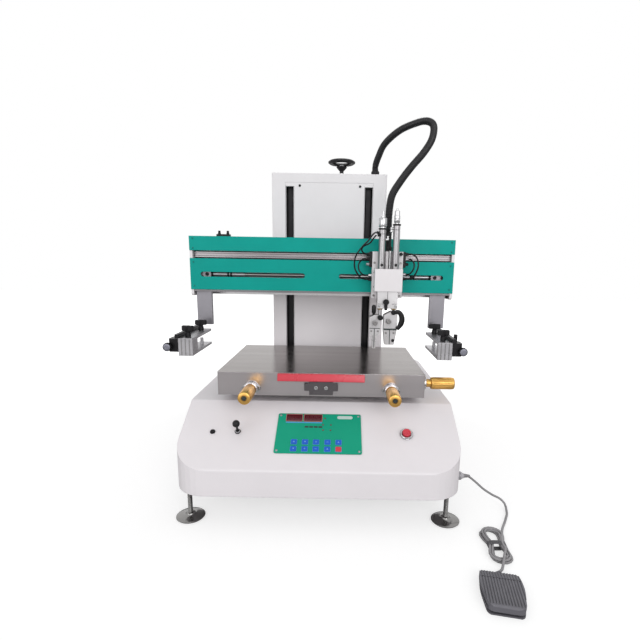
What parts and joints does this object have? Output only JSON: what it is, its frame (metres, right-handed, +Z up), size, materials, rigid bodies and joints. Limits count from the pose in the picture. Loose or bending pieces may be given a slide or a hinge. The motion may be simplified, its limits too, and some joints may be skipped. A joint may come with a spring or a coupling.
{
  "type": "bench-top flatbed screen printing machine",
  "caption": "Bench-top pneumatic flatbed screen printer: console, bed, column, cross beam with squeegee carriage and frame clamps, foot switch.",
  "frame": {"origin": "on the bench, under the middle of the machine and its foot switch", "axes": "+X along the squeegee stroke to the operator's right, +Y away from the operator, +Z up"},
  "size_m": [0.8409, 0.9576, 0.9713],
  "materials": {
    "air_loop_left": "tube",
    "air_loop_right": "tube",
    "ball_lever": "gloss",
    "beam": "extruded",
    "bed": "ground",
    "bed_block": "machined",
    "bed_knob_left": "turned",
    "bed_knob_right": "turned",
    "bed_knob_side": "turned",
    "bed_saddle": "machined",
    "button_bezel": "polished",
    "carriage": "white powder coat",
    "carriage_cover": "white powder coat",
    "clamp_rod": "ground",
    "column": "white powder coat",
    "column_front": "white powder coat",
    "conduit_drop": "corrugated",
    "conduit_gland": "matt",
    "conduit_rise": "corrugated",
    "console": "white powder coat",
    "control_panel": "membrane",
    "cord_feed": "matt",
    "cord_hank": "matt",
    "cord_tail": "matt",
    "end_plate_left": "white powder coat",
    "end_plate_right": "white powder coat",
    "flood_cylinder": "anodised",
    "flood_holder": "machined",
    "flood_knob": "matt",
    "foot_front_left": "plated",
    "foot_front_right": "plated",
    "foot_rear_left": "plated",
    "foot_rear_right": "plated",
    "fuse_cap": "matt",
    "guide_rails": "black oxide",
    "handwheel": "satin",
    "left_adjuster": "black",
    "left_dial": "satin",
    "left_fork": "anodised",
    "left_post": "anodised",
    "left_tknob_front": "matt",
    "left_tknob_rear": "matt",
    "lever_collar": "black",
    "lower_cover": "teal powder coat",
    "pedal_base": "matt",
    "pedal_tread": "ribbed",
    "red_stop": "red",
    "right_adjuster": "black",
    "right_dial": "satin",
    "right_fork": "anodised",
    "right_post": "anodised",
    "right_tknob_front": "matt",
    "right_tknob_rear": "matt",
    "rod_guide": "anodised",
    "side_plug": "matt",
    "squeegee_cylinder": "anodised",
    "squeegee_holder": "machined",
    "squeegee_knob": "matt",
    "start_button": "gloss",
    "upper_cover": "teal powder coat"
  },
  "bodies": {
    "machine": {"console": "console", "control_panel": "control_panel", "button_bezel": "button_bezel", "lever_collar": "lever_collar", "fuse_cap": "fuse_cap", "foot_front_left": "foot_front_left", "foot_front_right": "foot_front_right", "foot_rear_left": "foot_rear_left", "foot_rear_right": "foot_rear_right", "column": "column", "column_front": "column_front", "guide_rails": "guide_rails", "conduit_gland": "conduit_gland", "conduit_rise": "conduit_rise", "side_plug": "side_plug", "bed_block": "bed_block", "cord_feed": "cord_feed", "cord_hank": "cord_hank", "cord_tail": "cord_tail", "pedal_base": "pedal_base"},
    "wheel": {"handwheel": "handwheel"},
    "lever": {"ball_lever": "ball_lever"},
    "button": {"start_button": "start_button"},
    "pedal": {"pedal_tread": "pedal_tread"},
    "head": {"beam": "beam", "upper_cover": "upper_cover", "lower_cover": "lower_cover", "end_plate_left": "end_plate_left", "end_plate_right": "end_plate_right", "clamp_rod": "clamp_rod"},
    "carriage_body": {"carriage": "carriage", "carriage_cover": "carriage_cover", "rod_guide": "rod_guide", "squeegee_cylinder": "squeegee_cylinder", "flood_cylinder": "flood_cylinder", "air_loop_left": "air_loop_left", "air_loop_right": "air_loop_right", "conduit_drop": "conduit_drop"},
    "squeegee": {"squeegee_holder": "squeegee_holder"},
    "squeegee_screw": {"squeegee_knob": "squeegee_knob"},
    "flood": {"flood_holder": "flood_holder"},
    "flood_screw": {"flood_knob": "flood_knob"},
    "saddle": {"bed_saddle": "bed_saddle"},
    "bed_body": {"bed": "bed", "red_stop": "red_stop"},
    "knob_left": {"bed_knob_left": "bed_knob_left"},
    "knob_right": {"bed_knob_right": "bed_knob_right"},
    "knob_side": {"bed_knob_side": "bed_knob_side"},
    "left_clamp": {"left_post": "left_post", "left_fork": "left_fork", "left_adjuster": "left_adjuster"},
    "left_adjust": {"left_dial": "left_dial"},
    "left_screw_front": {"left_tknob_front": "left_tknob_front"},
    "left_screw_rear": {"left_tknob_rear": "left_tknob_rear"},
    "right_clamp": {"right_post": "right_post", "right_fork": "right_fork", "right_adjuster": "right_adjuster"},
    "right_adjust": {"right_dial": "right_dial"},
    "right_screw_front": {"right_tknob_front": "right_tknob_front"},
    "right_screw_rear": {"right_tknob_rear": "right_tknob_rear"}
  },
  "joints": [
    {"name": "head_lift", "type": "slide", "parent": "machine", "child": "head", "axis": [0, 0, 1], "range_m": [0, 0.12], "deforming": ["conduit_rise", "conduit_drop"]},
    {"name": "carriage_slide", "type": "slide", "parent": "head", "child": "carriage_body", "axis": [1, 0, 0], "range_m": [-0.335, 0.004], "deforming": ["conduit_rise", "conduit_drop"]},
    {"name": "squeegee_lift", "type": "slide", "parent": "carriage_body", "child": "squeegee", "axis": [0, 0, 1], "range_m": [-0.026, 0]},
    {"name": "flood_lift", "type": "slide", "parent": "carriage_body", "child": "flood", "axis": [0, 0, 1], "range_m": [-0.026, 0]},
    {"name": "squeegee_screw_turn", "type": "hinge", "parent": "squeegee", "child": "squeegee_screw", "pos_m": [0.1385, 0.0454, 0.42], "axis": [0, -1, 0], "continuous": true},
    {"name": "flood_screw_turn", "type": "hinge", "parent": "flood", "child": "flood_screw", "pos_m": [0.1735, 0.0414, 0.425], "axis": [0, -1, 0], "continuous": true},
    {"name": "handwheel_turn", "type": "hinge", "parent": "machine", "child": "wheel", "pos_m": [0.044, 0.3447, 0.832], "axis": [0, 0, 1], "continuous": true},
    {"name": "lever_throw", "type": "hinge", "parent": "machine", "child": "lever", "pos_m": [-0.186, -0.14018, 0.18501], "axis": [1, 0, 0], "range_deg": [-18, 18]},
    {"name": "button_press", "type": "slide", "parent": "machine", "child": "button", "axis": [0, 0.4999, -0.8661], "range_m": [0, 0.004], "stiffness_N_per_m": 400},
    {"name": "pedal_press", "type": "hinge", "parent": "machine", "child": "pedal", "pos_m": [0.34804, -0.39888, 0.01], "axis": [0.9816, -0.1908, 0], "range_deg": [0, 3], "stiffness_Nm_per_rad": 8},
    {"name": "left_clamp_slide", "type": "slide", "parent": "head", "child": "left_clamp", "axis": [1, 0, 0], "range_m": [0, 0.06]},
    {"name": "left_dial_turn", "type": "hinge", "parent": "left_clamp", "child": "left_adjust", "pos_m": [-0.3762, -0.0343, 0.3634], "axis": [0, -1, 0], "continuous": true},
    {"name": "left_front_screw_turn", "type": "hinge", "parent": "left_clamp", "child": "left_screw_front", "pos_m": [-0.332, -0.0163, 0.3849], "axis": [0, 0, 1], "continuous": true},
    {"name": "left_rear_screw_turn", "type": "hinge", "parent": "left_clamp", "child": "left_screw_rear", "pos_m": [-0.332, 0.0897, 0.3849], "axis": [0, 0, 1], "continuous": true},
    {"name": "right_clamp_slide", "type": "slide", "parent": "head", "child": "right_clamp", "axis": [-1, 0, 0], "range_m": [0, 0.06]},
    {"name": "right_dial_turn", "type": "hinge", "parent": "right_clamp", "child": "right_adjust", "pos_m": [0.3502, -0.0343, 0.3634], "axis": [0, -1, 0], "continuous": true},
    {"name": "right_front_screw_turn", "type": "hinge", "parent": "right_clamp", "child": "right_screw_front", "pos_m": [0.306, -0.0163, 0.3849], "axis": [0, 0, 1], "continuous": true},
    {"name": "right_rear_screw_turn", "type": "hinge", "parent": "right_clamp", "child": "right_screw_rear", "pos_m": [0.306, 0.0897, 0.3849], "axis": [0, 0, 1], "continuous": true},
    {"name": "bed_feed_y", "type": "slide", "parent": "machine", "child": "saddle", "axis": [0, 1, 0], "range_m": [-0.006, 0.006]},
    {"name": "bed_feed_x", "type": "slide", "parent": "saddle", "child": "bed_body", "axis": [1, 0, 0], "range_m": [-0.006, 0.006]},
    {"name": "left_knob_turn", "type": "hinge", "parent": "bed_body", "child": "knob_left", "pos_m": [-0.165, -0.0923, 0.2726], "axis": [0, -1, 0], "continuous": true},
    {"name": "right_knob_turn", "type": "hinge", "parent": "bed_body", "child": "knob_right", "pos_m": [0.173, -0.0923, 0.2726], "axis": [0, -1, 0], "continuous": true},
    {"name": "side_knob_turn", "type": "hinge", "parent": "bed_body", "child": "knob_side", "pos_m": [0.266, -0.0253, 0.2781], "axis": [1, 0, 0], "continuous": true}
  ]
}
